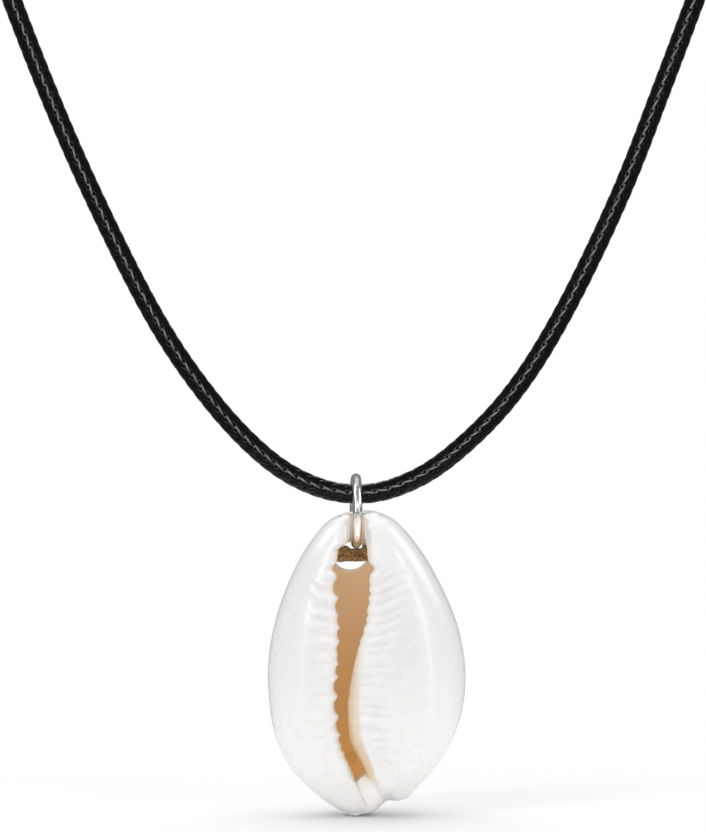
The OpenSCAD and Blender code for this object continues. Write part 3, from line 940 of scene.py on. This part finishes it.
def rough_bar():
    """The bar's points, which follow the slope of the back wall, their faces and the crest."""
    end_x = [hole_x - BAR_W / 2, hole_x + BAR_W / 2]
    low_y, high_y = ([skin_y(x, z) - 0.3 - WALL / 2 for x in end_x] for z in (BAR_LOW, BAR_HIGH))
    points, crest = [], []
    for i in range(BAR_ROWS):
        u = i / (BAR_ROWS - 1) * 2 - 1
        x = hole_x + u * BAR_W / 2
        top = bar_top(x)
        low = BAR_LOW + 0.02 * math.sin(5 * x + 2) + 0.012 * math.sin(17 * x)
        for j in range(BAR_SIDES):
            a = 2 * math.pi * j / BAR_SIDES
            c, t = math.cos(a), math.sin(a)
            rough = broken(u, c, t)
            z = (top + low) / 2 + squared(t) * (top - low + 0.3 * rough)
            share = (z - BAR_LOW) / (BAR_HIGH - BAR_LOW)
            y = np.interp(x, end_x, low_y) * (1 - share) + np.interp(x, end_x, high_y) * share
            points.append((x, float(y) + squared(c) * (0.9 + 1.6 * rough), z))
            crest.append(min(1, max(0, 1 - (top - z) / CREST)) ** 2)
    return np.array(points), tube_faces(BAR_ROWS, BAR_SIDES), crest


def bar_material():
    """Brown broken shell with specks, pores and a dark crest."""
    m = Nodes("broken_whorl")
    where = m.coords()
    blotch = m.noise(where, 2200.0, 4.0, 0.65)
    speck = m.noise(where, 6500.0, 3.0, 0.6)
    pores = m.node("TexVoronoi", {"Vector": where, "Scale": 3400.0}).outputs["Distance"]
    base = m.mix(m.remap(blotch, 0.38, 0.62), (0.19, 0.135, 0.065), (0.60, 0.45, 0.25))
    base = m.mix(m.remap(speck, 0.5, 0.7), base, (0.62, 0.48, 0.32))
    base = m.mix(m.remap(pores, 0.12, 0.34), (0.10, 0.065, 0.03), base)
    base = m.mix(m.times(m.attribute("crest"), 0.75), base, (0.05, 0.035, 0.02))
    m.set(Base_Color=base, Roughness=0.75, Normal=m.bump(pores, 0.5, 0.00015))
    return m.material


points, faces, crest = rough_bar()
bar = mesh_object("shell_inner_bar", hang(points), faces, 60)
float_attribute(bar, "crest", crest)
dress(bar, bar_material(), "shell", "shell", "cowrie_shell")

# Floor: a round white sheet that fades out, so that only the shadow shows

FLOOR = -0.14373  # metres
FLOOR_RINGS = [0.005, 0.01, 0.02, 0.03, 0.04, 0.05, 0.06]  # metres
FLOOR_SIDES = 96
FADE_FROM, FADE_TO = 0.012, 0.055  # metres from the middle


def floor_mesh():
    points = [(0, 0, 0)]
    for r in FLOOR_RINGS:
        points += [(r * math.cos(a), r * math.sin(a), 0) for a in circle(FLOOR_SIDES)]
    faces = [[0, 1 + j, 1 + (j + 1) % FLOOR_SIDES] for j in range(FLOOR_SIDES)]
    faces += (grid_faces(len(FLOOR_RINGS), FLOOR_SIDES)[:, ::-1] + 1).tolist()
    return mesh_object("floor", np.array(points) / MM + np.array([0, LOW[1], FLOOR / MM]), faces)


def floor_material():
    m = Nodes("pale_floor")
    centre = (0, LOW[1] * MM, FLOOR)
    spot = m.node("VectorMath", {0: m.coords(), 1: centre}, operation="DISTANCE")
    fade = m.remap(spot.outputs["Value"], FADE_FROM, FADE_TO, 1.0, 0.0)
    m.set(Base_Color=(0.97, 0.97, 0.97), Roughness=0.6, Specular_IOR_Level=0.0, Alpha=fade)
    return m.material


floor = floor_mesh()
floor.data.materials.append(floor_material())

# World and lights


def make_world(seen, lighting):
    """A white world, with one strength for the camera and another for the light it gives."""
    world = bpy.data.worlds.new("studio")
    bpy.context.scene.world = world
    world.use_nodes = True
    tree = world.node_tree
    tree.nodes.clear()
    either = tree.nodes.new("ShaderNodeMixShader")
    for socket, strength in ((1, lighting), (2, seen)):
        background = tree.nodes.new("ShaderNodeBackground")
        background.inputs["Color"].default_value = (1, 1, 1, 1)
        background.inputs["Strength"].default_value = strength
        tree.links.new(background.outputs[0], either.inputs[socket])
    rays = tree.nodes.new("ShaderNodeLightPath")
    tree.links.new(rays.outputs["Is Camera Ray"], either.inputs[0])
    out = tree.nodes.new("ShaderNodeOutputWorld")
    tree.links.new(either.outputs[0], out.inputs["Surface"])


def collection_of(name, pieces):
    made = bpy.data.collections.new(name)
    for piece in pieces:
        made.objects.link(piece)
    return made


LIGHT_AIM = Vector((0, -0.1, -0.125))  # metres, near the pendant's top


def softbox(name, azimuth, elevation, distance, width, height, radiance, only, blocked_by=None):
    """An area light that faces the pendant from an azimuth, 0 being the camera's side."""
    light = bpy.data.lights.new(name, "AREA")
    light.shape, light.size, light.size_y = "RECTANGLE", width, height
    light.energy = radiance * math.pi * width * height
    obj = bpy.data.objects.new(name, light)
    a, e = math.radians(azimuth), math.radians(elevation)
    away = Vector((math.sin(a) * math.cos(e), -math.cos(a) * math.cos(e), math.sin(e)))
    obj.location = LIGHT_AIM + away * distance
    obj.rotation_mode = "QUATERNION"
    obj.rotation_quaternion = (-away).to_track_quat("-Z", "Y")
    bpy.context.scene.collection.objects.link(obj)
    obj.light_linking.receiver_collection = collection_of(name + "_lights", only)
    if blocked_by:
        obj.light_linking.blocker_collection = collection_of(name + "_stops", blocked_by)


make_world(seen=1.0, lighting=0.272)
pendant_top = [shell, ring, clasp, bar]
bright_pieces = [o for o in bpy.context.scene.objects if o.type == "MESH" and o not in cord_pieces]
LIGHTS = [
    # name, azimuth, elevation, distance, width, height, radiance, lit pieces, blocking pieces
    # the upright highlights on the shell
    ("strip_left", -37, 24, 0.6, 0.09, 0.54, 5.6, bright_pieces),
    ("strip_right", 38, 15, 0.6, 0.09, 0.32, 4.3, bright_pieces),
    ("band_left", -36, -12, 0.6, 0.045, 0.26, 3.0, [shell]),
    ("band_right", 36, -12, 0.6, 0.045, 0.26, 3.6, [shell]),
    # the flanks, the front and the lower tip
    ("side_left", -82, 52, 0.6, 0.3, 0.4, 3.4, pendant_top),
    ("side_right", 80, 34, 0.6, 0.3, 0.4, 3.5, pendant_top),
    ("front_top", 0, 22, 0.8, 0.44, 0.26, 1.75, bright_pieces),
    ("tip_fill", 0, -54, 0.6, 0.5, 0.4, 0.4, [shell], [shell]),
    # the shadow on the floor, and the upper faces
    ("overhead", 180, 75, 0.7, 1.0, 1.0, 1.7, [floor]),
    ("overhead_back", 180, 70, 0.7, 0.6, 0.6, 0.6, pendant_top),
    # the ring, partly through the shell, as the pale lips round it throw light on it
    ("ring_above", 180, 70, 0.7, 0.6, 0.6, 0.8, [ring, clasp]),
    ("ring_below", 0, -20, 0.6, 0.5, 0.3, 0.8, [ring]),
    ("ring_through", 0, -72, 0.6, 0.6, 0.9, 0.5, [ring], [ring]),
    ("ring_through_left", -60, -45, 0.6, 0.7, 0.7, 0.6, [ring], [ring]),
    ("ring_through_right", 60, -45, 0.6, 0.7, 0.7, 0.9, [ring], [ring]),
    # the wax's gloss
    ("cord_front", -4, 15, 0.8, 0.3, 0.3, 17.0, cord_pieces),
    ("cord_back", 180, 40, 0.8, 0.3, 0.3, 4.5, cord_pieces),
]
for light in LIGHTS:
    softbox(*light)

view = bpy.context.scene.view_settings
view.view_transform = "Standard"
view.look = "None"
view.exposure = 0
view.gamma = 1
